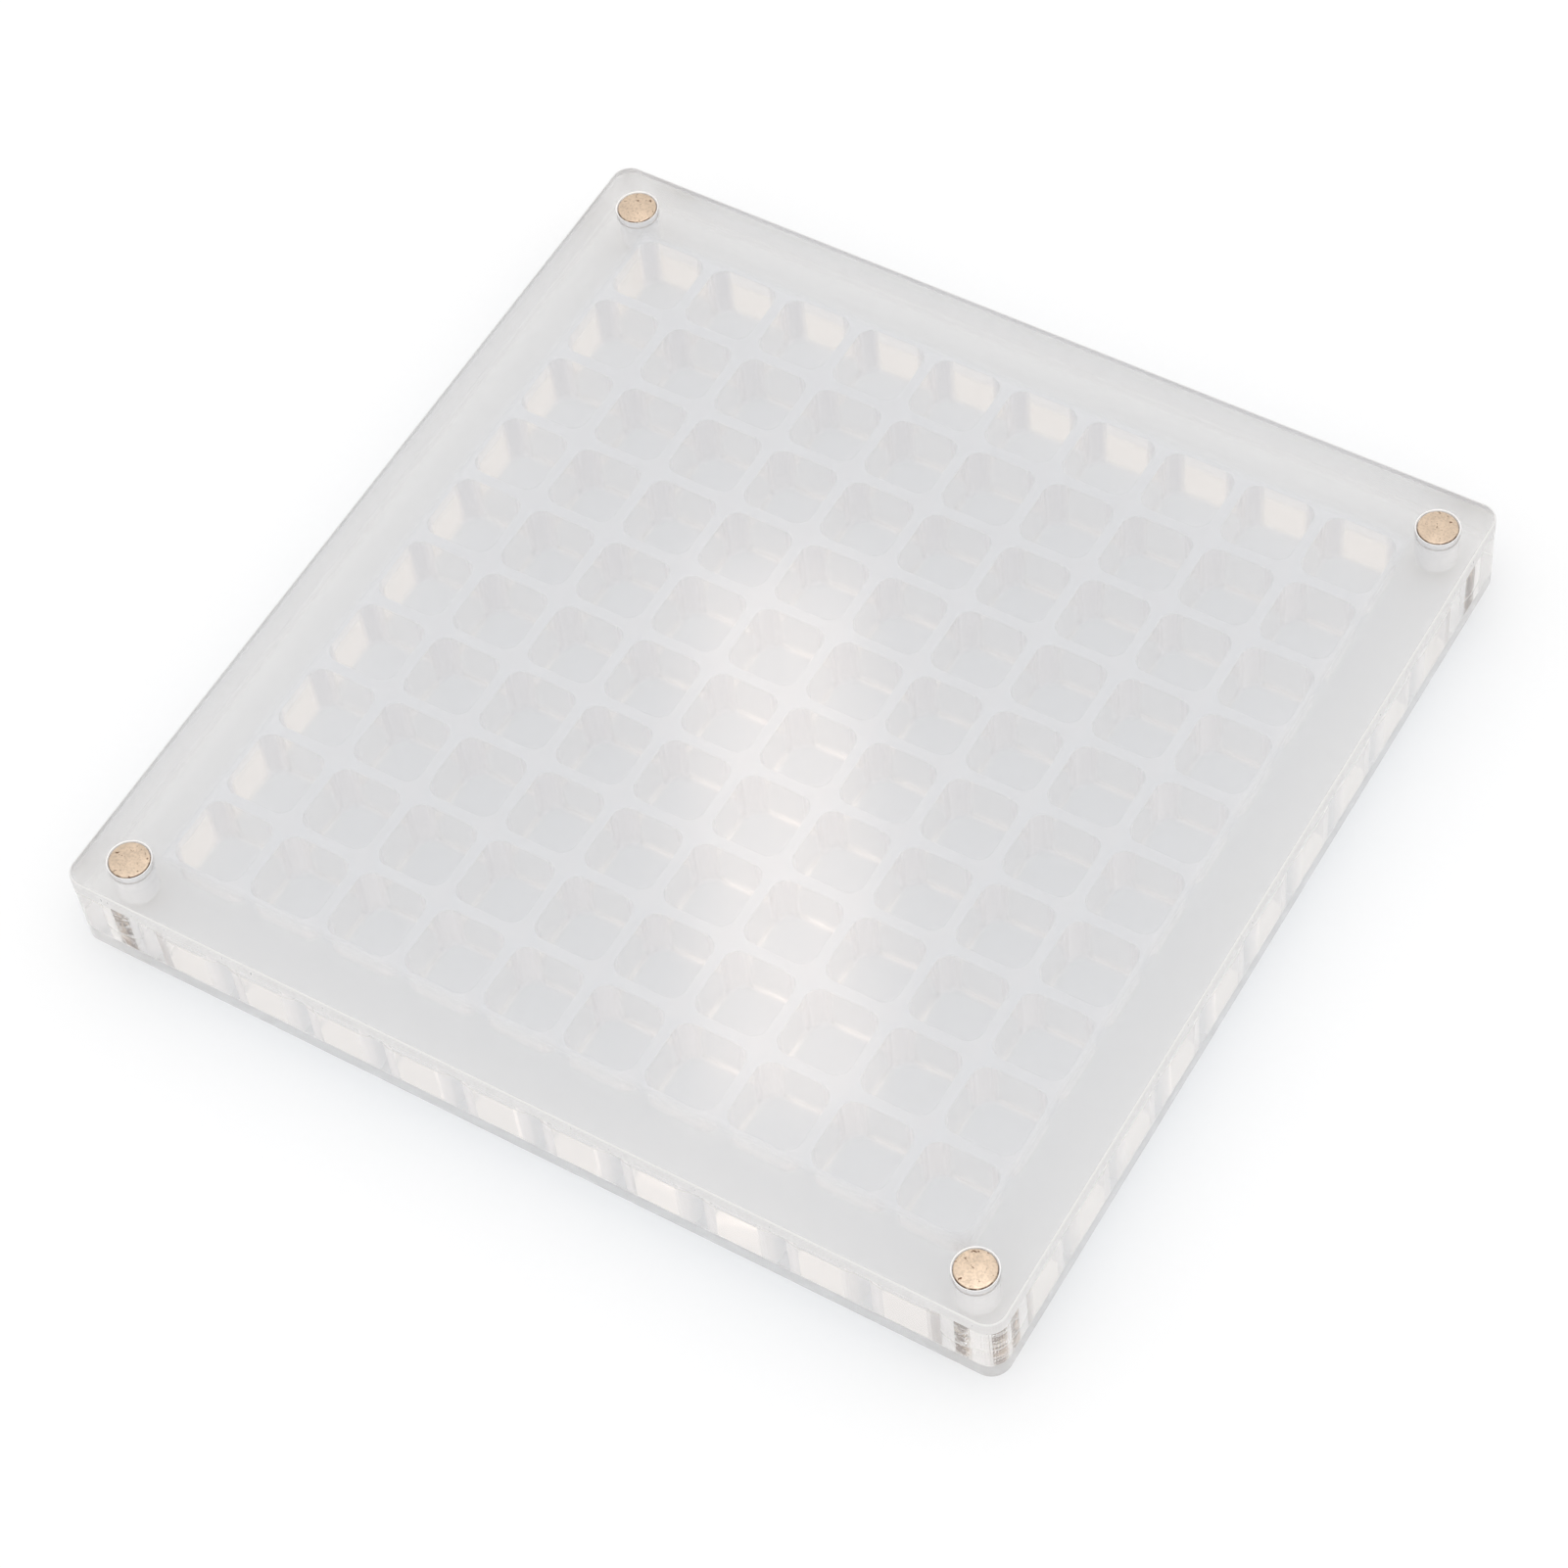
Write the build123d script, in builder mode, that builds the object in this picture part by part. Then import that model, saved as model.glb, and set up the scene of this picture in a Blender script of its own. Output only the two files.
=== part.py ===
from build123d import *
import os

# A flat square display box for seashells, in clear acrylic. A base plate closes the
# underside of a thick plate with a square field of open pockets, and a thin lid plate
# lies on top. A disc magnet in each corner of the lid meets a rod magnet in the same
# corner of the pocket plate and holds the lid down.
# All sizes are in millimetres. +Z is up and the origin is the middle of the underside.

# Outline that the three plates share, with the rim of solid plate round the pockets
border_width = 14.425
corner_radius = 4.0
edge_break = 0.4

# Plates, from the table up
base_thickness = 4.0
grid_thickness = 12.0
lid_thickness = 3.0

# Square field of pockets, with the walls that stand between them
pockets_per_side = 10
pocket_side = 15.0
pocket_corner_radius = 3.0
pocket_corner_flats = 3
wall_thickness = 2.35

# Magnets, glued into round holes that run right through their plate
magnet_diameter = 8.0
magnet_inset = 9.3
magnet_edge_break = 0.3
lid_hole_edge_break = 0.3
glue_gap = 0.1

# Heights of the two joints between the plates
base_top = base_thickness
grid_top = base_top + grid_thickness

# Centre distance of the pockets, the side of the box round them, and that of the magnets
pocket_pitch = pocket_side + wall_thickness
box_side = pockets_per_side * pocket_pitch - wall_thickness + 2 * border_width
magnet_spacing = box_side - 2 * magnet_inset

magnet_radius = magnet_diameter / 2
magnet_hole_radius = magnet_radius + glue_gap
corner_names = ["front_left", "back_left", "front_right", "back_right"]


def pocket_outline():
    """The corners of one pocket, each round corner drawn as a few short flats."""
    middle = pocket_side / 2 - pocket_corner_radius
    corners = []
    for quarter in range(4):
        for step in range(pocket_corner_flats + 1):
            angle = 90 * (quarter + step / pocket_corner_flats)
            centre = Vector(middle, middle).rotate(Axis.Z, 90 * quarter)
            corners.append(centre + Vector(pocket_corner_radius, 0).rotate(Axis.Z, angle))
    return corners


def magnet(centre, underside, length):
    """A round magnet with broken rims, standing on the given height at a corner."""
    with BuildPart() as rod:
        with BuildSketch(Plane(origin=(centre.X, centre.Y, underside))):
            Circle(magnet_radius)
        extrude(amount=length)
        chamfer(rod.edges(), magnet_edge_break)
    return rod.part


def write(piece, node):
    """Label a finished piece and write its file."""
    piece.label = node
    export_step(piece, f"parts/{node}.step")


os.makedirs("parts", exist_ok=True)

# Base plate, with the edge on the table broken
with BuildPart() as base_plate:
    with BuildSketch():
        RectangleRounded(box_side, box_side, corner_radius)
    extrude(amount=base_thickness)
    chamfer(base_plate.faces().sort_by(Axis.Z)[0].edges(), edge_break)
write(base_plate.part, "base_plate")

# Pocket plate: the pockets and the magnet holes run from face to face
with BuildPart() as compartment_grid:
    with BuildSketch(Plane.XY.offset(base_top)):
        RectangleRounded(box_side, box_side, corner_radius)
        with GridLocations(pocket_pitch, pocket_pitch, pockets_per_side, pockets_per_side):
            Polygon(*pocket_outline(), align=None, mode=Mode.SUBTRACT)
        with GridLocations(magnet_spacing, magnet_spacing, 2, 2):
            Circle(magnet_hole_radius, mode=Mode.SUBTRACT)
    extrude(amount=grid_thickness)
write(compartment_grid.part, "compartment_grid")

# Lid plate, with its upper edge broken, and a through hole with a broken rim for each magnet
with BuildPart() as lid_plate:
    with BuildSketch(Plane.XY.offset(grid_top)):
        RectangleRounded(box_side, box_side, corner_radius)
    extrude(amount=lid_thickness)
    chamfer(lid_plate.faces().sort_by(Axis.Z)[-1].edges(), edge_break)
    with BuildSketch(Plane.XY.offset(grid_top)):
        with GridLocations(magnet_spacing, magnet_spacing, 2, 2):
            Circle(magnet_hole_radius)
    extrude(amount=lid_thickness, mode=Mode.SUBTRACT)
    hole_rims = lid_plate.edges(Select.LAST).filter_by(GeomType.CIRCLE)
    chamfer(hole_rims.group_by(Axis.Z)[-1], lid_hole_edge_break)
write(lid_plate.part, "lid_plate")

# Each magnet is as long as its plate is thick, so both its faces lie flush
magnet_corners = GridLocations(magnet_spacing, magnet_spacing, 2, 2).locations
for corner, spot in zip(corner_names, magnet_corners):
    write(magnet(spot.position, base_top, grid_thickness), f"grid_magnet_{corner}")
    write(magnet(spot.position, grid_top, lid_thickness), f"lid_magnet_{corner}")
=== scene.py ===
"""Looks for a square display box of clear acrylic, laid out as an add-on and run as a script.

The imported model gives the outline, heights and places of the three plates and the eight
magnets. Each is modelled again here at the same size, with round pocket corners, softened
rims and its own finish. Lengths are metres, +Z is up, and X runs along the box's front.
"""

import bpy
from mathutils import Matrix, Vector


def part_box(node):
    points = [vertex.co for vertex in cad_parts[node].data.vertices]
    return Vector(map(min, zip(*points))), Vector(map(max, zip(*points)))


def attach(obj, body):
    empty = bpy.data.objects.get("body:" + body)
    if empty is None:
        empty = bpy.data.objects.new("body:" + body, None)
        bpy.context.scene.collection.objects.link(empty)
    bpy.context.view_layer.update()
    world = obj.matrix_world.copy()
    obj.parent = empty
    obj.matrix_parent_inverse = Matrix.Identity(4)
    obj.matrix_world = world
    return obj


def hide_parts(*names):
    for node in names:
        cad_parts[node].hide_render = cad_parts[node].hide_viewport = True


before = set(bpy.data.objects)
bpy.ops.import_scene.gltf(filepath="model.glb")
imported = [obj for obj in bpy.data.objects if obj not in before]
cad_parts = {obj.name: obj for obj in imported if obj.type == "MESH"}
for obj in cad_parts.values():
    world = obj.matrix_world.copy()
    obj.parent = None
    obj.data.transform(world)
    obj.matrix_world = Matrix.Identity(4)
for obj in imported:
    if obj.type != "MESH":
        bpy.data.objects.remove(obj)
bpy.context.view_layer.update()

import math

import bmesh
import bpy
from bpy.props import FloatProperty, FloatVectorProperty, IntProperty, PointerProperty
from mathutils import Matrix, Vector

bl_info = {
    "name": "Shell display box",
    "version": (1, 0, 0),
    "blender": (4, 5, 0),
    "location": "View3D > Sidebar > Shell box",
    "description": "Clear acrylic display box with square pockets and a magnetic lid",
    "category": "Add Mesh",
}

corner_names = ("front_left", "back_left", "front_right", "back_right")
lid_low, lid_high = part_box("lid_plate")
grid_low, grid_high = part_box("compartment_grid")
base_low, base_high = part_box("base_plate")
box_side = lid_high.x - lid_low.x

# Straight steps in one round corner of a plate and of a pocket
plate_corner_steps = 12
pocket_corner_steps = 6

# Straight steps round a magnet's hole and round a magnet, and across a magnet's rims
hole_steps = 48
magnet_steps = 64
magnet_rim_steps = 4
magnet_smooth_angle = math.radians(30)

# Points that are closer than this are one point
same_point = 1e-7

# A face is level where its normal rises more than this, and upright where it rises less
level_rise = 0.99
upright_rise = 0.01

# Sockets of a Mix node that blends colours
mix_factor, mix_one, mix_two, mix_result = 0, 6, 7, 2

# Most of a noise lies between these two
noise_low, noise_high = 0.3, 0.7

# Scales of the noise that makes the marks on acrylic, and how fine and strong they are
polish_waves = 90
saw_waves = 150
cutter_waves = 300
matt_waves = 900
mark_detail = 1.5
polish_depth = 0.15
cutter_depth = 0.1
matt_depth = 0.02

# Wear makes a face smoother in places and rougher in others, by these shares
wear_scale = 1400
wear_smooth, wear_rough = 0.6, 1.6

# A cut wall turns cloudy where it mirrors more than this share of the light inside a plate
cloud_start = 0.3

# Stretch of a noise: none, upright on a sawn side or a rod, and more so on a cut wall
even = (1, 1, 1)
saw_streaks = (1, 1, 0.3)
cutter_streaks = (1, 1, 0.08)

white = (1, 1, 1)


def length(name, description, default):
    """A length property in metres."""
    return FloatProperty(
        name=name, description=description, default=default, min=0, unit="LENGTH", precision=5
    )


def place(name, description, default):
    """A property for a point in metres."""
    return FloatVectorProperty(
        name=name, description=description, default=default, size=3, subtype="TRANSLATION",
        precision=5,
    )


def share(name, description, default):
    """A property from nought to one."""
    return FloatProperty(
        name=name, description=description, default=default, min=0, max=1, subtype="FACTOR"
    )


def colour(name, description, default):
    """A linear colour property."""
    return FloatVectorProperty(
        name=name, description=description, default=default, min=0, max=1, size=3, subtype="COLOR"
    )


def angle(name, description, degrees):
    """An angle property, given in degrees."""
    return FloatProperty(
        name=name, description=description, default=math.radians(degrees), subtype="ANGLE"
    )


def power(name, description, default):
    """A lamp's power property in watts."""
    return FloatProperty(
        name=name, description=description, default=default, min=0, unit="POWER", precision=3
    )


def index(name, description, default):
    """A property for how much a clear thing bends light."""
    return FloatProperty(name=name, description=description, default=default, min=1, max=2)


class ShellBoxSizes(bpy.types.PropertyGroup):
    """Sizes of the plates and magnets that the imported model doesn't state"""

    corner_radius: length("Corner radius", "Upright corners of the three plates", 0.004)
    pocket_side: length("Pocket side", "Clear width of one pocket", 0.015)
    pocket_radius: length("Pocket corner radius", "Upright corners of a pocket", 0.003)
    wall: length("Wall", "Thickness of the wall between two pockets", 0.00235)
    pockets: IntProperty(name="Pockets", description="Pockets along a side", default=10, min=1)
    glue_gap: length("Glue gap", "Room round a magnet in its hole", 0.0001)
    lid_edge: length("Lid edge", "Rounding of the lid's upper edge", 0.0004)
    sawn_edge: length("Sawn edge", "Rounding of the plates' other edges", 0.00005)
    rim_edge: length("Pocket rim", "Rounding of a pocket's upper rim", 0.00005)
    glue_bead: length("Glue bead", "Bead of glue round a pocket's floor", 0.0001)
    hole_edge: length("Hole rim", "Rounding of a magnet hole's upper rim", 0.0003)
    magnet_edge: length("Magnet edge", "Rounding of a magnet's rims", 0.0003)
    plate_gap: length("Plate gap", "Air left between two plates", 0.00004)


class ShellBoxFinish(bpy.types.PropertyGroup):
    """Colours and surface finishes"""

    acrylic_ior: index("Acrylic IOR", "How much acrylic bends light", 1.49)
    acrylic_tint: colour("Acrylic tint", "Colour of the clear plates", (0.998, 0.998, 0.997))
    acrylic_roughness: share("Acrylic roughness", "Polish of the clear plates", 0.02)
    acrylic_shade: colour("Acrylic shade", "Light that one flat face lets on", (0.97, 0.97, 0.97))
    mark_height: length("Mark height", "Height of the faint marks on acrylic", 0.0004)
    under_haze: share("Underside haze", "Share of light scattered by the face on the table", 0.3)
    land_haze: share("Wall top haze", "Share of light scattered by the tops of the walls", 0.55)
    # Painted shade: a grey tint on the border round the field of pockets
    border_shade_tint: colour("Border tint", "Colour of the border of the field", (0.93, 0.93, 0.925))
    cut_tint: colour("Cut tint", "Colour of the walls cut inside a plate", (1.0, 0.985, 0.975))
    cut_roughness: share("Cut roughness", "Finish of the walls cut inside a plate", 0.08)
    cut_haze: share("Cut haze", "Share of light scattered by the cut walls", 0.06)
    inner_haze: share("Inner haze", "The same, where they mirror light inside the plate", 0.8)
    corner_haze: share("Corner haze", "The same, in the round corners of the pockets", 1.0)
    # Painted glint: a pinkish tint in the pockets' round corners
    corner_glint_tint: colour("Corner tint", "Colour of the pockets' round corners", (1.0, 0.97, 0.96))
    # Painted shade: greys the wall of a magnet's hole where it mirrors the light inside the sheet
    hole_mirror_shade: colour("Hole tint", "Colour of a magnet's hole, seen from above", (0.9, 0.89, 0.89))
    glue_height: length("Glue height", "Height of the waves of glue in a magnet's hole", 0.0006)
    side_tint: colour("Side tint", "Colour of the box's outer sides", (0.96, 0.93, 0.90))
    side_haze: share("Side haze", "Share of light scattered by the outer sides", 0.14)
    side_roughness: share("Side roughness", "Finish of the box's outer sides", 0.03)
    lid_side_tint: colour("Lid side tint", "Colour of the lid's sawn sides", (0.86, 0.845, 0.835))
    lid_side_haze: share("Lid side haze", "Share of light scattered by the lid's sawn sides", 0.6)
    # Painted shade: the outer edges are greyed to hold down the bright line where light falls on
    # them
    edge_shade_tint: colour("Edge tint", "Colour of the plates' outer edges", (0.72, 0.71, 0.70))
    rim_tint: colour("Rim tint", "Colour of the rims of pockets and holes", (0.88, 0.87, 0.86))
    edge_haze: share("Edge haze", "Share of light scattered by edges and rims", 0.95)
    edge_roughness: share("Edge roughness", "Finish of edges, rims and the lid's sides", 0.45)
    film_colour: colour("Film colour", "Milky upper face of the lid", (0.80, 0.79, 0.79))
    film_haze: share("Film haze", "Share of light that the milky face throws back", 0.21)
    film_cloud: share("Film cloud", "How much the haze drifts over the lid", 0.015)
    film_grain: share("Film grain", "How much the haze varies from grain to grain", 0.01)
    film_through: share("Film through", "Share that it scatters of the light inside the lid", 0.35)
    film_roughness: share("Film roughness", "Blur of what is seen through the lid", 0.22)
    film_gloss: share("Film gloss roughness", "Blur of what the lid mirrors", 0.11)
    film_gloss_ior: index("Film gloss IOR", "Strength of what the lid mirrors", 1.7)
    film_height: length("Film height", "Height of the slow waves in the milky face", 0.0003)
    film_shade: colour("Film shade", "Light that the milky face lets on", (0.62, 0.65, 0.69))
    plating: colour("Plating", "Colour of the magnets' plating", (0.77, 0.635, 0.505))
    # Colours the specks, and the darkening in streaks on the magnets' upright faces and rims
    plating_dark: colour("Plating stain", "Colour of specks and worn rims", (0.16, 0.09, 0.055))
    plating_smooth: share("Plating smooth", "Roughness of the smoothest grains", 0.30)
    plating_rough: share("Plating rough", "Roughness of the roughest grains", 0.50)
    grain_height: length("Grain height", "Height of the plating's grain", 0.00003)


class ShellBoxStage(bpy.types.PropertyGroup):
    """Camera, floor and light"""

    camera_azimuth: angle("Camera azimuth", "Turn of the view from the front", 37.141)
    camera_elevation: angle("Camera elevation", "Height of the view", 55.411)
    camera_roll: angle("Camera roll", "Lean of the picture", -7.85)
    camera_distance: length("Camera distance", "From the aim point to the camera", 0.8108)
    aim: place("Aim", "Point of the lid's top that is looked at", (0.00956, -0.01891, lid_high.z))
    lens_mm: FloatProperty(name="Lens", description="Focal length in mm", default=99.76, min=1)
    sensor_mm: FloatProperty(name="Sensor", description="Sensor width in mm", default=36, min=1)
    floor_side: length("Floor side", "Width of the table top", 12)
    floor_drop: length("Floor drop", "Air between the table top and the box", 0.00005)
    floor_colour: colour("Floor", "Pale table top", (0.84, 0.84, 0.84))
    floor_glow: share("Floor glow", "White added to the floor where it is looked at", 0.03)
    room_colour: colour("Room colour", "Light all round, on plain surfaces", white)
    seen_colour: colour("Seen room colour", "Mirrored or through acrylic", (0.985, 0.95, 0.915))
    window_place: place("Window place", "Middle of the long lamp", (-0.231, 0.2945, 0.619))
    window_width: length("Window width", "Short side of the long lamp", 0.06)
    window_length: length("Window length", "Long side of the long lamp", 0.23)
    window_turn: angle("Window turn", "Turn of the long lamp, seen from above", 32)
    window_power: power("Window power", "Power of the long lamp", 0.07)
    window_colour: colour("Window colour", "Colour of the long lamp", (1.0, 0.84, 0.72))
    softbox_place: place("Softbox place", "Middle of the square lamp", (0.1, -0.1, 1.5))
    softbox_side: length("Softbox side", "Width of the square lamp", 1)
    softbox_power: power("Softbox power", "Power of the square lamp", 5)
    light_bounces: IntProperty(
        name="Light bounces", description="Times that light is mirrored or bent", default=32, min=0
    )
    clear_bounces: IntProperty(
        name="Clear bounces", description="Faces that light may pass unbent", default=24, min=0
    )


# Meshes


def square_loop(bm, side, radius, steps, z):
    """Edges of a square outline with round corners, lying at a height."""
    corners = bmesh.ops.create_grid(bm, x_segments=1, y_segments=1, size=side / 2)["verts"]
    bmesh.ops.translate(bm, verts=corners, vec=(0, 0, z))
    made = bmesh.ops.bevel(
        bm, geom=corners, offset=radius, offset_type="OFFSET", segments=steps,
        profile=0.5, affect="VERTICES", material=-1,
    )
    face = made["verts"][0].link_faces[0]
    edges = face.edges[:]
    bmesh.ops.delete(bm, geom=[face], context="FACES_ONLY")
    return edges


def round_loop(bm, radius, z):
    """Edges of a circle, lying at a height."""
    made = bmesh.ops.create_circle(bm, cap_ends=False, segments=hole_steps, radius=radius)["verts"]
    bmesh.ops.translate(bm, verts=made, vec=(0, 0, z))
    return list(dict.fromkeys(e for v in made for e in v.link_edges))


def rim(edge, inward):
    """Steps of a rounded rim, as (change of half width, depth below the face).

    A negative edge leans the other way, as a bead of glue does.
    """
    middle = edge - math.sqrt(0.5) * edge
    sign = -1 if inward else 1
    return [(sign * edge, 0), (sign * middle, abs(middle)), (0, abs(edge))]


def wall(bm, loop, low, high, low_edge, high_edge, outside):
    """An upright wall with rounded rims, drawn by loop(change, z)."""
    heights = [(change, low + drop) for change, drop in rim(low_edge, outside)]
    heights += [(change, high - drop) for change, drop in reversed(rim(high_edge, outside))]
    loops = [loop(change, z) for change, z in heights]
    for lower, upper in zip(loops, loops[1:]):
        bmesh.ops.bridge_loops(bm, edges=lower + upper)


def copies(bm, places):
    """Puts a copy of all that the mesh holds at each place and deletes the first."""
    first = bm.verts[:] + bm.edges[:] + bm.faces[:]
    for spot in places:
        made = bmesh.ops.duplicate(bm, geom=first)["geom"]
        moved = [v for v in made if isinstance(v, bmesh.types.BMVert)]
        bmesh.ops.translate(bm, verts=moved, vec=spot)
    bmesh.ops.delete(bm, geom=[v for v in first if isinstance(v, bmesh.types.BMVert)])


def magnet_places():
    """Centre of each corner's magnets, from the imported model."""
    places = []
    for corner in corner_names:
        low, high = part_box(f"lid_magnet_{corner}")
        middle = (low + high) / 2
        places.append(Vector((middle.x, middle.y, 0)))
    return places


def pocket_places(sizes):
    """Centre of each pocket."""
    pitch = sizes.pocket_side + sizes.wall
    first = -(sizes.pockets - 1) / 2
    line = [(first + n) * pitch for n in range(sizes.pockets)]
    return [Vector((x, y, 0)) for x in line for y in line]


def field_half(sizes):
    """Distance from the middle of the box to the outer side of the outermost pockets."""
    return (sizes.pockets * (sizes.pocket_side + sizes.wall) - sizes.wall) / 2


def join_mesh(bm, other):
    """Adds a bmesh to another and frees it."""
    carrier = bpy.data.meshes.new("carrier")
    other.to_mesh(carrier)
    other.free()
    bm.from_mesh(carrier)
    bpy.data.meshes.remove(carrier)


def fill_level(bm, z):
    """Fills the flat face at a height, leaving every hole open."""
    edges = [
        e for e in bm.edges if e.is_boundary and all(abs(v.co.z - z) < same_point for v in e.verts)
    ]
    bmesh.ops.triangle_fill(bm, use_beauty=True, edges=edges, normal=(0, 0, 1))


def plate(sizes, low, high, low_edge, high_edge, holes=False, pockets=False):
    """A bmesh of one flat plate, with its magnet holes and pockets if asked."""
    bm = bmesh.new()
    wall(
        bm,
        lambda change, z: square_loop(
            bm, box_side + 2 * change, sizes.corner_radius + change, plate_corner_steps, z
        ),
        low, high, low_edge, high_edge, outside=True,
    )
    if holes:
        magnet_low, magnet_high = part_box(f"lid_magnet_{corner_names[0]}")
        radius = (magnet_high.x - magnet_low.x) / 2 + sizes.glue_gap
        hole = bmesh.new()
        wall(
            hole,
            lambda change, z: round_loop(hole, radius + change, z),
            low, high, sizes.sawn_edge, sizes.hole_edge, outside=False,
        )
        copies(hole, magnet_places())
        join_mesh(bm, hole)
    if pockets:
        pocket = bmesh.new()
        wall(
            pocket,
            lambda change, z: square_loop(
                pocket, sizes.pocket_side + 2 * change, sizes.pocket_radius + change,
                pocket_corner_steps, z,
            ),
            low, high, -sizes.glue_bead, sizes.rim_edge, outside=False,
        )
        copies(pocket, pocket_places(sizes))
        join_mesh(bm, pocket)
    fill_level(bm, low)
    fill_level(bm, high)
    bmesh.ops.remove_doubles(bm, verts=bm.verts[:], dist=same_point)
    bmesh.ops.recalc_face_normals(bm, faces=bm.faces[:])
    return bm


def dress(sizes, bm, top="clear_acrylic", under="clear_acrylic", side="side_acrylic"):
    """Gives each face of a plate the finish of its place, and returns the finishes in order."""
    names = ["clear_acrylic", "cut_acrylic", "hole_acrylic", "edge_acrylic", "rim_acrylic"]
    names += [name for name in (top, under, side) if name not in names]
    outer = box_side / 2 - sizes.corner_radius
    pocketed = field_half(sizes) + sizes.wall / 4
    for face in bm.faces:
        middle = face.calc_center_median()
        outward = max(abs(middle.x), abs(middle.y))
        if face.normal.z > level_rise:
            name = top
        elif face.normal.z < -level_rise:
            name = under
        elif abs(face.normal.z) > upright_rise:
            name = "edge_acrylic" if outward > outer else "rim_acrylic"
        elif outward > outer:
            name = side
        elif outward < pocketed:
            name = "cut_acrylic"
        else:
            name = "hole_acrylic"
        face.material_index = names.index(name)
    made = finishes()
    return [made[name] for name in names]


def magnet(sizes, low, high):
    """A bmesh of one round magnet with rounded rims."""
    bm = bmesh.new()
    radius = (high.x - low.x) / 2
    bmesh.ops.create_cone(
        bm, cap_ends=True, cap_tris=False, segments=magnet_steps, radius1=radius, radius2=radius,
        depth=high.z - low.z, matrix=Matrix.Translation((low + high) / 2),
    )
    rims = [e for e in bm.edges if abs(e.verts[0].co.z - e.verts[1].co.z) < same_point]
    bmesh.ops.bevel(
        bm, geom=rims, offset=sizes.magnet_edge, offset_type="OFFSET", segments=magnet_rim_steps,
        profile=0.5, affect="EDGES", material=-1,
    )
    return bm


def piece(bm, name, materials, body, node, smooth_angle=None):
    """Makes an object of a bmesh, which rides on a body and stands for one CAD node."""
    mesh = bpy.data.meshes.new(name)
    bm.to_mesh(mesh)
    bm.free()
    if smooth_angle is not None:
        mesh.shade_smooth()
        mesh.set_sharp_from_angle(angle=smooth_angle)
    for material in materials:
        mesh.materials.append(material)
    made = bpy.data.objects.new(name, mesh)
    bpy.context.scene.collection.objects.link(made)
    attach(made, body)
    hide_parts(node)


# Materials


def rgba(tone):
    """A colour with its alpha, or a socket as it is."""
    return tone if isinstance(tone, bpy.types.NodeSocket) else (*tone, 1)


def darker(tone, kept):
    """A colour with a share of its light kept."""
    return [kept * part for part in tone]


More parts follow.
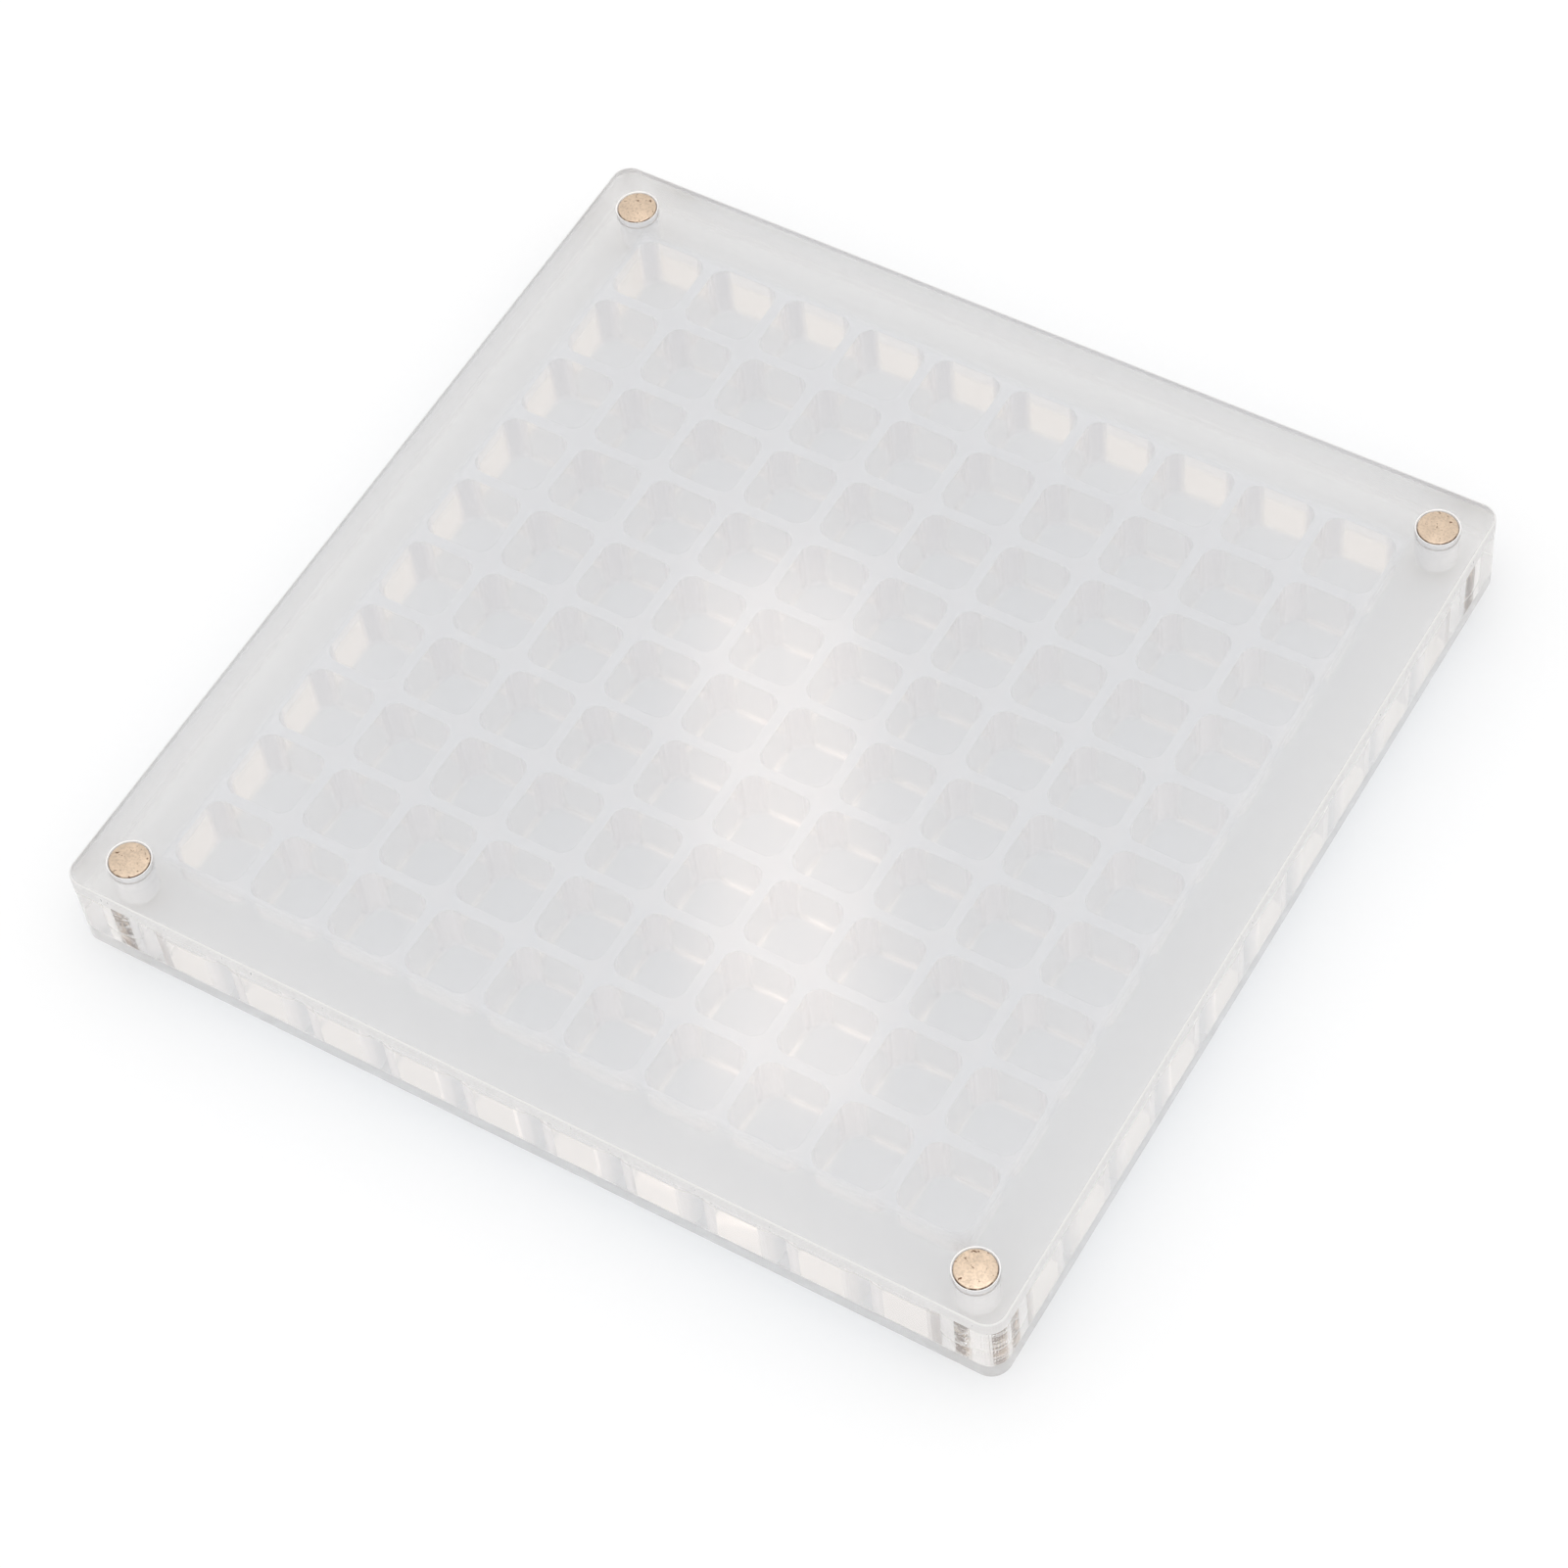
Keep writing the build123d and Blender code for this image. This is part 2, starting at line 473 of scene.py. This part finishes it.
class Shader:
    """A material's node tree, with short calls that add and join nodes."""

    def __init__(self, name):
        self.material = bpy.data.materials.new(name)
        self.material.use_nodes = True
        self.tree = self.material.node_tree
        self.tree.nodes.clear()
        coordinates = self.node("ShaderNodeTexCoord").outputs
        self.place = coordinates["Object"]
        self.flat = coordinates["Normal"]

    def node(self, kind, settings=(), inputs=()):
        """Adds a node. inputs maps a socket's name or number to a value or another socket."""
        made = self.tree.nodes.new(kind)
        for key, value in dict(settings).items():
            setattr(made, key, value)
        for key, value in dict(inputs).items():
            if isinstance(value, bpy.types.NodeSocket):
                self.tree.links.new(value, made.inputs[key])
            else:
                made.inputs[key].default_value = value
        return made

    def noise(self, scale, detail, stretch=even, distortion=0.0):
        """Noise on the piece's own coordinates, as a number around a half."""
        at = self.node("ShaderNodeMapping", inputs={"Vector": self.place, "Scale": stretch})
        made = self.node(
            "ShaderNodeTexNoise",
            inputs={
                "Vector": at.outputs[0],
                "Scale": scale,
                "Detail": detail,
                "Distortion": distortion,
            },
        )
        return made.outputs["Fac"]

    def between(self, value, low, high, start=0.0, end=1.0):
        """A number mapped from start and end to low and high, and held inside them."""
        made = self.node(
            "ShaderNodeMapRange",
            inputs={
                "Value": value,
                "From Min": start,
                "From Max": end,
                "To Min": low,
                "To Max": high,
            },
        )
        return made.outputs[0]

    def vary(self, noise, low, high):
        """A noise spread over a range."""
        return self.between(noise, low, high, noise_low, noise_high)

    def worn(self, roughness, stretch=even):
        """A roughness that varies finely over a face."""
        wear = self.noise(wear_scale, detail=2, stretch=stretch)
        return self.vary(wear, wear_smooth * roughness, wear_rough * roughness)

    def math(self, operation, one, two):
        """Arithmetic on two numbers."""
        made = self.node("ShaderNodeMath", {"operation": operation}, {0: one, 1: two})
        return made.outputs[0]

    def absolute(self, value):
        """A number without its sign."""
        return self.node("ShaderNodeMath", {"operation": "ABSOLUTE"}, {0: value}).outputs[0]

    def parts(self, vector):
        """The parts of a place or direction along the three axes."""
        return self.node("ShaderNodeSeparateXYZ", inputs={0: vector}).outputs

    def mirrored(self, ior):
        """Share of light that a face mirrors. It is all of what strikes from inside at a slant."""
        return self.node("ShaderNodeFresnel", inputs={"IOR": ior}).outputs[0]

    def mix_colour(self, factor, one, two):
        """A blend of two colours."""
        made = self.node(
            "ShaderNodeMix",
            {"data_type": "RGBA"},
            {mix_factor: factor, mix_one: rgba(one), mix_two: rgba(two)},
        )
        return made.outputs[mix_result]

    def bump(self, height, strength, distance):
        """A normal from a height."""
        made = self.node(
            "ShaderNodeBump", inputs={"Height": height, "Strength": strength, "Distance": distance}
        )
        return made.outputs[0]

    def glass(self, ior, tint, roughness, through, normal, more=()):
        """Clear plastic. through is the share of light that goes in, and the rest is scattered."""
        made = self.node(
            "ShaderNodeBsdfPrincipled",
            inputs={
                "Base Color": rgba(tint),
                "Roughness": roughness,
                "IOR": ior,
                "Transmission Weight": through,
                "Normal": normal,
                **dict(more),
            },
        )
        return made.outputs[0]

    def let_light_on(self, surface, shade):
        """The same shader, but light on its way to or from a plain surface goes straight on."""
        path = self.node("ShaderNodeLightPath").outputs
        straight = self.math("MAXIMUM", path["Is Shadow Ray"], path["Is Diffuse Ray"])
        clear = self.node("ShaderNodeBsdfTransparent", inputs={"Color": rgba(shade)})
        mixed = self.node(
            "ShaderNodeMixShader", inputs={0: straight, 1: surface, 2: clear.outputs[0]}
        )
        return mixed.outputs[0]

    def finish(self, surface):
        """Joins the shader to the output and returns the material."""
        self.node("ShaderNodeOutputMaterial", inputs={"Surface": surface})
        return self.material


def acrylic(
    name, finish, tint, roughness, haze=0, shade=white, waves=polish_waves, streaks=even,
    depth=polish_depth,
):
    """Acrylic of one look all over a face.

    haze is the share of light that the face scatters, shade is what it lets on in shadows, and
    waves, streaks and depth are the scale, stretch and strength of its faint marks.
    """
    shader = Shader(name)
    marks = shader.noise(waves, mark_detail, streaks)
    glass = shader.glass(
        finish.acrylic_ior, tint, shader.worn(roughness, streaks), 1 - haze,
        shader.bump(marks, depth, finish.mark_height),
    )
    return shader.finish(shader.let_light_on(glass, shade))


def clear_acrylic(finish):
    """The polished flat faces of the sheets."""
    return acrylic(
        "clear_acrylic", finish, finish.acrylic_tint, finish.acrylic_roughness,
        shade=finish.acrylic_shade,
    )


def under_acrylic(finish):
    """The face that lies on the table, dulled by fine scratches."""
    return acrylic(
        "under_acrylic", finish, finish.acrylic_tint, finish.acrylic_roughness,
        haze=finish.under_haze, shade=finish.acrylic_shade,
    )


def land_acrylic(finish):
    """The upper face of the pocket sheet, cloudy on the walls and clear on the border, greyed as
    painted shade.
    """
    sizes = bpy.context.scene.shell_box_sizes
    shader = Shader("land_acrylic")
    across = shader.parts(shader.place)
    outward = shader.math("MAXIMUM", shader.absolute(across["X"]), shader.absolute(across["Y"]))
    field = field_half(sizes)
    border = shader.between(outward, 0, 1, start=field, end=field + sizes.wall)
    marks = shader.noise(polish_waves, mark_detail)
    glass = shader.glass(
        finish.acrylic_ior,
        # The border is greyed as painted shade
        shader.mix_colour(border, finish.acrylic_tint, finish.border_shade_tint),
        finish.acrylic_roughness,
        shader.between(border, 1 - finish.land_haze, 1),
        shader.bump(marks, polish_depth, finish.mark_height),
    )
    return shader.finish(shader.let_light_on(glass, finish.acrylic_shade))


def cut_acrylic(finish):
    """The upright walls of the pockets, with faint upright marks of the cutter.

    They scatter most in the round corners, and where a wall mirrors the light inside it. The
    corners are tinted pink as a painted glint.
    """
    shader = Shader("cut_acrylic")
    facing = shader.parts(shader.flat)
    aslant = shader.absolute(shader.math("MULTIPLY", facing["X"], facing["Y"]))
    corner = shader.between(aslant, 0, 1, start=0.02, end=0.2)
    mirrored = shader.mirrored(finish.acrylic_ior)
    haze = shader.math(
        "MAXIMUM",
        shader.between(mirrored, finish.cut_haze, finish.inner_haze, start=cloud_start),
        shader.math("MULTIPLY", corner, finish.corner_haze),
    )
    marks = shader.noise(cutter_waves, mark_detail, cutter_streaks)
    glass = shader.glass(
        finish.acrylic_ior,
        # The pink tint in the corners is a painted glint
        shader.mix_colour(corner, finish.cut_tint, finish.corner_glint_tint),
        shader.worn(finish.cut_roughness, cutter_streaks),
        shader.math("SUBTRACT", 1, haze),
        shader.bump(marks, cutter_depth, finish.mark_height),
    )
    return shader.finish(shader.let_light_on(glass, white))


def hole_acrylic(finish):
    """The walls of the magnets' holes, wavy with glue.

    They are plain where the magnet shows through, and cloudy where they mirror light inside the
    sheet. There they are also greyed, as painted shade.
    """
    shader = Shader("hole_acrylic")
    cloudy = shader.between(shader.mirrored(finish.acrylic_ior), 0, 1, start=cloud_start)
    glue = shader.noise(scale=420, detail=3, distortion=1.2)
    glass = shader.glass(
        finish.acrylic_ior,
        shader.mix_colour(cloudy, finish.cut_tint, finish.hole_mirror_shade),
        finish.cut_roughness,
        shader.between(cloudy, 1, 1 - finish.inner_haze),
        shader.bump(glue, strength=0.7, distance=finish.glue_height),
    )
    return shader.finish(shader.let_light_on(glass, white))


def side_acrylic(finish):
    """The box's outer sides, satin and a little cloudy."""
    return acrylic(
        "side_acrylic", finish, finish.side_tint, finish.side_roughness, haze=finish.side_haze,
        waves=saw_waves, streaks=saw_streaks, depth=matt_depth,
    )


def lid_side_acrylic(finish):
    """The lid's outer sides, left cloudy by the saw."""
    return acrylic(
        "lid_side_acrylic", finish, finish.lid_side_tint, finish.edge_roughness,
        haze=finish.lid_side_haze, waves=saw_waves, streaks=saw_streaks, depth=matt_depth,
    )


def edge_acrylic(finish):
    """The softened edges round the outside of each plate, matt and greyed as painted shade."""
    return acrylic(
        "edge_acrylic", finish, finish.edge_shade_tint, finish.edge_roughness, haze=finish.edge_haze,
        waves=matt_waves, depth=matt_depth,
    )


def rim_acrylic(finish):
    """The rims of pockets and holes and the beads of glue, matt and light."""
    return acrylic(
        "rim_acrylic", finish, finish.rim_tint, finish.edge_roughness, haze=finish.edge_haze,
        waves=matt_waves, depth=matt_depth,
    )


def milky_film(finish):
    """Upper face of the lid: a cloudy film over clear acrylic, with a soft gloss."""
    shader = Shader("milky_film")
    cloud = shader.noise(scale=14, detail=3, distortion=0.6)
    grain = shader.noise(scale=900, detail=3)
    clear = 1 - finish.film_haze
    through = shader.math(
        "ADD",
        shader.vary(cloud, -finish.film_cloud, finish.film_cloud),
        shader.vary(grain, clear - finish.film_grain, clear + finish.film_grain),
    )
    waves = shader.noise(scale=30, detail=3, distortion=0.8)
    glass = shader.glass(
        finish.acrylic_ior, finish.film_colour, finish.film_roughness, through,
        shader.bump(waves, strength=0.3, distance=finish.film_height),
        {
            "Coat Weight": 1.0,
            "Coat Roughness": finish.film_gloss,
            "Coat IOR": finish.film_gloss_ior,
        },
    )
    inside = shader.node("ShaderNodeNewGeometry").outputs["Backfacing"]
    scattered = shader.math("MULTIPLY", inside, finish.film_through)
    milk = shader.node("ShaderNodeBsdfTranslucent", inputs={"Color": rgba(finish.film_colour)})
    film = shader.node(
        "ShaderNodeMixShader", inputs={0: scattered, 1: glass, 2: milk.outputs[0]}
    )
    return shader.finish(shader.let_light_on(film.outputs[0], finish.film_shade))


def magnet_plating(finish):
    """Satin plating with a sandy grain, with dark specks, and darker in streaks on its upright
    faces and rims.
    """
    shader = Shader("magnet_plating")
    grain = shader.noise(scale=2400, detail=3)
    clouds = shader.noise(scale=420, detail=3)
    spots = shader.noise(scale=1100, detail=2, distortion=0.5)
    streaks = shader.noise(scale=700, detail=3, stretch=saw_streaks, distortion=0.8)
    blotches = shader.between(clouds, 0, 1, start=0.35, end=0.7)
    specks = shader.between(spots, 0, 1, start=0.64, end=0.7)
    # Upright faces and rims are made darker in streaks
    level = shader.absolute(shader.parts(shader.flat)["Z"])
    upright = shader.between(level, 1, 0, start=0.6, end=0.9)
    upright_streaks = shader.between(streaks, 0.1, 1, start=0.42, end=0.55)
    dark_marks = shader.math("MAXIMUM", specks, shader.math("MULTIPLY", upright, upright_streaks))
    sand = shader.between(grain, 0, 0.35, start=0.45, end=0.65)
    tone = shader.mix_colour(blotches, darker(finish.plating, kept=0.85), finish.plating)
    sandy = shader.mix_colour(sand, tone, darker(finish.plating, kept=0.5))
    metal = shader.node(
        "ShaderNodeBsdfPrincipled",
        inputs={
            "Base Color": shader.mix_colour(dark_marks, sandy, finish.plating_dark),
            "Metallic": 1.0,
            "Roughness": shader.vary(grain, finish.plating_smooth, finish.plating_rough),
            "Normal": shader.bump(grain, strength=0.5, distance=finish.grain_height),
        },
    )
    return shader.finish(metal.outputs[0])


def finishes():
    """The materials, made once and then shared."""
    made = {m.name: m for m in bpy.data.materials}
    finish = bpy.context.scene.shell_box_finish
    for name, make in (
        ("clear_acrylic", clear_acrylic),
        ("under_acrylic", under_acrylic),
        ("land_acrylic", land_acrylic),
        ("cut_acrylic", cut_acrylic),
        ("hole_acrylic", hole_acrylic),
        ("side_acrylic", side_acrylic),
        ("lid_side_acrylic", lid_side_acrylic),
        ("edge_acrylic", edge_acrylic),
        ("rim_acrylic", rim_acrylic),
        ("milky_film", milky_film),
        ("magnet_plating", magnet_plating),
    ):
        if name not in made or "shell_box" not in made[name]:
            made[name] = make(finish)
            made[name]["shell_box"] = True
            made[name].name = name
    return made


# Stage


def floor_paper(stage):
    """Pale table top that looks white and keeps the box's shadow."""
    shader = Shader("floor_paper")
    fibre = shader.vary(shader.noise(scale=600, detail=3), 0, 1)
    tone = shader.mix_colour(fibre, darker(stage.floor_colour, kept=0.995), stage.floor_colour)
    paper = shader.node("ShaderNodeBsdfDiffuse", inputs={"Color": tone})
    path = shader.node("ShaderNodeLightPath").outputs
    seen = shader.math("MAXIMUM", path["Is Camera Ray"], path["Is Glossy Ray"])
    looked_at = shader.math("MAXIMUM", seen, path["Is Transmission Ray"])
    glow = shader.node(
        "ShaderNodeEmission",
        inputs={"Strength": shader.math("MULTIPLY", looked_at, stage.floor_glow)},
    )
    both = shader.node("ShaderNodeAddShader", inputs={0: paper.outputs[0], 1: glow.outputs[0]})
    return shader.finish(both.outputs[0])


def sky(stage):
    """Even light all round, a little warmer where it is mirrored or seen through acrylic."""
    world = bpy.data.worlds.new("soft_room")
    bpy.context.scene.world = world
    world.use_nodes = True
    tree = world.node_tree
    path = tree.nodes.new("ShaderNodeLightPath")
    tone = tree.nodes.new("ShaderNodeMix")
    tone.data_type = "RGBA"
    tone.inputs[mix_one].default_value = rgba(stage.room_colour)
    tone.inputs[mix_two].default_value = rgba(stage.seen_colour)
    tree.links.new(path.outputs["Is Glossy Ray"], tone.inputs[mix_factor])
    tree.links.new(tone.outputs[mix_result], tree.nodes["Background"].inputs["Color"])


def panel_lamp(name, middle, aim, size, watts, tint, turn=0.0):
    """A rectangular lamp that faces a point and is turned about its own axis."""
    lamp = bpy.data.lights.new(name, "AREA")
    lamp.shape = "RECTANGLE"
    lamp.size, lamp.size_y = size
    lamp.energy = watts
    lamp.color = tint
    made = bpy.data.objects.new(name, lamp)
    bpy.context.scene.collection.objects.link(made)
    made.location = middle
    facing = (Vector(aim) - Vector(middle)).to_track_quat("-Z", "Y").to_matrix()
    made.rotation_euler = (facing @ Matrix.Rotation(turn, 3, "Z")).to_euler()


def camera(stage):
    """The photograph's own view of the box."""
    turn, rise = stage.camera_azimuth, stage.camera_elevation
    back = Vector(
        (math.sin(turn) * math.cos(rise), -math.cos(turn) * math.cos(rise), math.sin(rise))
    )
    level = Vector((0, 0, 1)).cross(back).normalized()
    upward = back.cross(level)
    right = math.cos(stage.camera_roll) * level + math.sin(stage.camera_roll) * upward
    above = back.cross(right)
    lens = bpy.data.cameras.new("photo_view")
    lens.lens = stage.lens_mm
    lens.sensor_width = stage.sensor_mm
    made = bpy.data.objects.new("photo_view", lens)
    bpy.context.scene.collection.objects.link(made)
    turned = Matrix((right, above, back)).transposed().to_4x4()
    stand = Vector(stage.aim) + back * stage.camera_distance
    made.matrix_world = Matrix.Translation(stand) @ turned
    bpy.context.scene.camera = made


# Operators


class SHELLBOX_OT_stage(bpy.types.Operator):
    """Make the floor, the light and the camera"""

    bl_idname = "shellbox.stage"
    bl_label = "Stage"

    def execute(self, context):
        scene = context.scene
        stage = scene.shell_box_stage
        bm = bmesh.new()
        bmesh.ops.create_grid(bm, x_segments=1, y_segments=1, size=stage.floor_side / 2)
        bmesh.ops.translate(bm, verts=bm.verts[:], vec=(0, 0, base_low.z - stage.floor_drop))
        mesh = bpy.data.meshes.new("floor")
        bm.to_mesh(mesh)
        bm.free()
        mesh.materials.append(floor_paper(stage))
        floor = bpy.data.objects.new("floor", mesh)
        scene.collection.objects.link(floor)
        sky(stage)
        under_window = (stage.window_place[0], stage.window_place[1], 0)
        panel_lamp(
            "window", stage.window_place, under_window, (stage.window_width, stage.window_length),
            stage.window_power, stage.window_colour, stage.window_turn,
        )
        panel_lamp(
            "softbox", stage.softbox_place, (0, 0, 0), (stage.softbox_side, stage.softbox_side),
            stage.softbox_power, white,
        )
        camera(stage)
        scene.view_settings.view_transform = "Standard"
        scene.cycles.max_bounces = stage.light_bounces
        scene.cycles.transmission_bounces = stage.light_bounces
        scene.cycles.glossy_bounces = stage.light_bounces
        scene.cycles.transparent_max_bounces = stage.clear_bounces
        return {"FINISHED"}


class SHELLBOX_OT_base(bpy.types.Operator):
    """Make the sheet under the pockets"""

    bl_idname = "shellbox.base"
    bl_label = "Base sheet"

    def execute(self, context):
        sizes = context.scene.shell_box_sizes
        bm = plate(
            sizes, base_low.z, base_high.z - sizes.plate_gap, sizes.sawn_edge, sizes.sawn_edge
        )
        materials = dress(sizes, bm, under="under_acrylic")
        piece(bm, "base_sheet", materials, "box", "base_plate")
        return {"FINISHED"}


class SHELLBOX_OT_pockets(bpy.types.Operator):
    """Make the thick sheet with its field of pockets"""

    bl_idname = "shellbox.pockets"
    bl_label = "Pocket sheet"

    def execute(self, context):
        sizes = context.scene.shell_box_sizes
        bm = plate(
            sizes, grid_low.z, grid_high.z - sizes.plate_gap, sizes.sawn_edge, sizes.sawn_edge,
            holes=True, pockets=True,
        )
        materials = dress(sizes, bm, top="land_acrylic")
        piece(bm, "pocket_sheet", materials, "box", "compartment_grid")
        return {"FINISHED"}


class SHELLBOX_OT_lid(bpy.types.Operator):
    """Make the lid, milky on top and cloudy at its sides"""

    bl_idname = "shellbox.lid"
    bl_label = "Lid sheet"

    def execute(self, context):
        sizes = context.scene.shell_box_sizes
        bm = plate(sizes, lid_low.z, lid_high.z, sizes.sawn_edge, sizes.lid_edge, holes=True)
        materials = dress(sizes, bm, top="milky_film", side="lid_side_acrylic")
        piece(bm, "lid_sheet", materials, "lid", "lid_plate")
        return {"FINISHED"}


class SHELLBOX_OT_magnets(bpy.types.Operator):
    """Make the disc magnets of the lid and the rod magnets under them"""

    bl_idname = "shellbox.magnets"
    bl_label = "Magnets"

    def execute(self, context):
        sizes = context.scene.shell_box_sizes
        plating = finishes()["magnet_plating"]
        for corner in corner_names:
            for kind, node, body in (
                ("lid_disc", f"lid_magnet_{corner}", "lid"),
                ("body_rod", f"grid_magnet_{corner}", "box"),
            ):
                bm = magnet(sizes, *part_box(node))
                piece(
                    bm, f"{kind}_{corner}", [plating], body, node,
                    magnet_smooth_angle,
                )
        return {"FINISHED"}


making = (
    SHELLBOX_OT_stage,
    SHELLBOX_OT_base,
    SHELLBOX_OT_pockets,
    SHELLBOX_OT_lid,
    SHELLBOX_OT_magnets,
)


class SHELLBOX_PT_sidebar(bpy.types.Panel):
    """The box's settings and the pieces to make"""

    bl_idname = "SHELLBOX_PT_sidebar"
    bl_label = "Shell box"
    bl_space_type = "VIEW_3D"
    bl_region_type = "UI"
    bl_category = "Shell box"

    def draw(self, context):
        scene = context.scene
        for title, group in (
            ("Sizes", scene.shell_box_sizes),
            ("Finish", scene.shell_box_finish),
            ("Stage", scene.shell_box_stage),
        ):
            column = self.layout.column(align=True)
            column.label(text=title)
            for name in group.bl_rna.properties.keys():
                if name not in ("rna_type", "name"):
                    column.prop(group, name)
        for operator in making:
            self.layout.operator(operator.bl_idname)


groups = {
    "shell_box_sizes": ShellBoxSizes,
    "shell_box_finish": ShellBoxFinish,
    "shell_box_stage": ShellBoxStage,
}
classes = (*groups.values(), *making, SHELLBOX_PT_sidebar)


def register():
    """Registers the classes and hangs the settings on the scene."""
    for each in classes:
        bpy.utils.register_class(each)
    for name, group in groups.items():
        setattr(bpy.types.Scene, name, PointerProperty(type=group))


def unregister():
    """Takes the settings and the classes away again."""
    for name in groups:
        delattr(bpy.types.Scene, name)
    for each in reversed(classes):
        bpy.utils.unregister_class(each)


def main():
    """Makes the stage and every piece."""
    register()
    bpy.ops.shellbox.stage()
    bpy.ops.shellbox.base()
    bpy.ops.shellbox.pockets()
    bpy.ops.shellbox.lid()
    bpy.ops.shellbox.magnets()


if __name__ == "__main__":
    main()
